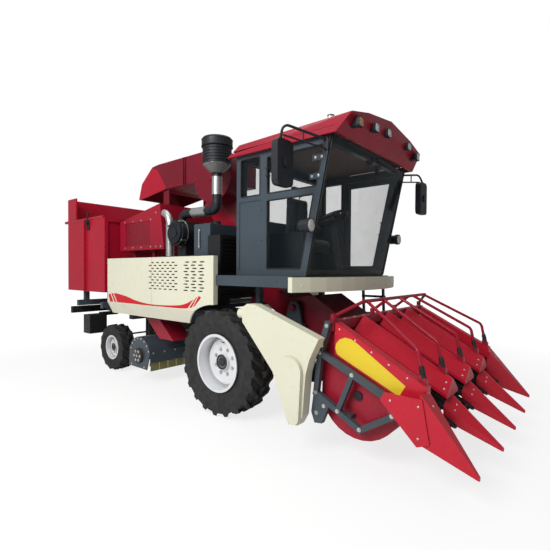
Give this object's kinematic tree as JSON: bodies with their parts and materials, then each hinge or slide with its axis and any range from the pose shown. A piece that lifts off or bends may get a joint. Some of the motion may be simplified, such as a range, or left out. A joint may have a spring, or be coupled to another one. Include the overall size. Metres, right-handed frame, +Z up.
{
  "type": "self-propelled maize harvester",
  "caption": "Self-propelled maize harvester: row dividers and snapping rolls in front, glazed cab, ear elevator, husker, side-tipping ear bin and stalk chopper on steered rear wheels.",
  "frame": {"origin": "ground level under the middle of the machine, half way between the divider tips and the rear end of the bin tube", "axes": "+X forward, the way it drives, +Y to the driver's left, +Z up"},
  "size_m": [7.21, 2.921, 3.535],
  "materials": {
    "red": "gloss",
    "cream": "gloss",
    "slate": "satin",
    "black": "satin",
    "iron": "matte",
    "rim_silver": "satin",
    "tyre_rubber": "matte",
    "glass": "clear",
    "black_plastic": "matte",
    "seat_cover": "matte",
    "bright_steel": "polished",
    "pipe_steel": "brushed",
    "curtain_rubber": "matte"
  },
  "bodies": {
    "chassis": {"frame": "slate", "front_axle": "iron", "rear_axle": "iron", "deck": "slate", "front_sill": "cream", "cab_frame": "slate", "cab_roof": "red", "cab_glass": "glass", "driver_seat": "seat_cover", "control_console": "black_plastic", "mirrors": "black_plastic", "work_lamps": "black_plastic", "engine": "iron", "radiator": "black", "oil_tank": "slate", "air_intake": "black_plastic", "exhaust": "pipe_steel", "side_cover_right": "cream", "side_cover_left": "cream", "elevator": "red", "discharge_duct": "red", "husker": "red", "rear_bumper": "black", "battery_box": "black", "fuel_tank": "black"},
    "front_wheel_right": {"front_tyre_right": "tyre_rubber", "front_rim_right": "rim_silver"},
    "front_wheel_left": {"front_tyre_left": "tyre_rubber", "front_rim_left": "rim_silver"},
    "steer_right": {"knuckle_right": "iron"},
    "steer_left": {"knuckle_left": "iron"},
    "steer_link": {"tie_rod": "iron"},
    "rear_wheel_right": {"rear_tyre_right": "tyre_rubber", "rear_rim_right": "rim_silver"},
    "rear_wheel_left": {"rear_tyre_left": "tyre_rubber", "rear_rim_left": "rim_silver"},
    "header": {"feeder_house": "red", "header_trough": "red", "header_side_frames": "slate", "row_dividers": "red", "row_units": "black", "crop_guard": "red", "drive_cover": "cream"},
    "auger": {"header_auger": "black"},
    "lift_barrel": {"lift_barrels": "black"},
    "lift_rod": {"lift_rods": "bright_steel"},
    "bin": {"ear_bin": "red"},
    "tip_barrel": {"tip_barrels": "black"},
    "tip_rod": {"tip_rods": "bright_steel"},
    "door": {"cab_door": "slate", "door_glass": "glass"},
    "chopper": {"chopper_hood": "slate", "chopper_curtain": "curtain_rubber"},
    "rotor": {"chopper_rotor": "iron"}
  },
  "joints": [
    {"name": "front_right_roll", "type": "hinge", "parent": "chassis", "child": "front_wheel_right", "pos_m": [0.655, -0.975, 0.64], "axis": [0, 1, 0], "continuous": true},
    {"name": "front_left_roll", "type": "hinge", "parent": "chassis", "child": "front_wheel_left", "pos_m": [0.655, 0.975, 0.64], "axis": [0, 1, 0], "continuous": true},
    {"name": "steer_right_turn", "type": "hinge", "parent": "chassis", "child": "steer_right", "pos_m": [-2.395, -0.53, 0.4], "axis": [0, 0, 1], "range_deg": [-30, 30]},
    {"name": "steer_left_turn", "type": "hinge", "parent": "chassis", "child": "steer_left", "pos_m": [-2.395, 0.53, 0.4], "axis": [0, 0, 1], "range_deg": [-30, 30]},
    {"name": "steer_link_shift", "type": "slide", "parent": "chassis", "child": "steer_link", "axis": [0, 1, 0], "range_m": [-0.081, 0.081]},
    {"name": "rear_right_roll", "type": "hinge", "parent": "steer_right", "child": "rear_wheel_right", "pos_m": [-2.395, -0.73, 0.4], "axis": [0, 1, 0], "continuous": true},
    {"name": "rear_left_roll", "type": "hinge", "parent": "steer_left", "child": "rear_wheel_left", "pos_m": [-2.395, 0.73, 0.4], "axis": [0, 1, 0], "continuous": true},
    {"name": "header_lift", "type": "hinge", "parent": "chassis", "child": "header", "pos_m": [1.275, 0, 1.3], "axis": [0, -1, 0], "range_deg": [-5, 20]},
    {"name": "auger_spin", "type": "hinge", "parent": "header", "child": "auger", "pos_m": [2.535, 0, 0.63], "axis": [0, 1, 0], "continuous": true},
    {"name": "lift_barrel_swing", "type": "hinge", "parent": "chassis", "child": "lift_barrel", "pos_m": [0.855, 0, 0.62], "axis": [0, -1, 0], "range_deg": [-3, 11]},
    {"name": "lift_rod_slide", "type": "slide", "parent": "lift_barrel", "child": "lift_rod", "axis": [0.9908, 0, 0.1356], "range_m": [-0.07, 0.23]},
    {"name": "bin_tip", "type": "hinge", "parent": "chassis", "child": "bin", "pos_m": [-2.82, 1.2, 2.35], "axis": [-1, 0, 0], "range_deg": [0, 55]},
    {"name": "tip_barrel_swing", "type": "hinge", "parent": "chassis", "child": "tip_barrel", "pos_m": [-2.82, 0.8, 1.04], "axis": [1, 0, 0], "range_deg": [-6.43, 1]},
    {"name": "tip_rod_slide", "type": "slide", "parent": "tip_barrel", "child": "tip_rod", "axis": [0, 0.0733, 0.9973], "range_m": [-0.01, 0.253]},
    {"name": "door_swing", "type": "hinge", "parent": "chassis", "child": "door", "pos_m": [1.215, 0.96, 2.4], "axis": [0, 0, 1], "range_deg": [0, 75]},
    {"name": "chopper_lift", "type": "hinge", "parent": "chassis", "child": "chopper", "pos_m": [-0.395, 0, 0.82], "axis": [0, 1, 0], "range_deg": [-4, 10]},
    {"name": "rotor_spin", "type": "hinge", "parent": "chopper", "child": "rotor", "pos_m": [-1.315, 0, 0.43], "axis": [0, 1, 0], "continuous": true}
  ],
  "couplings": [
    {"joint": "steer_left_turn", "follows": "steer_right_turn", "ratio": 1},
    {"joint": "steer_link_shift", "follows": "steer_right_turn", "m_per_rad": -0.1528},
    {"joint": "lift_barrel_swing", "follows": "header_lift", "ratio": 0.4738},
    {"joint": "lift_rod_slide", "follows": "header_lift", "m_per_rad": 0.583},
    {"joint": "tip_barrel_swing", "follows": "bin_tip", "ratio": -0.0987},
    {"joint": "tip_rod_slide", "follows": "bin_tip", "m_per_rad": 0.2536}
  ]
}
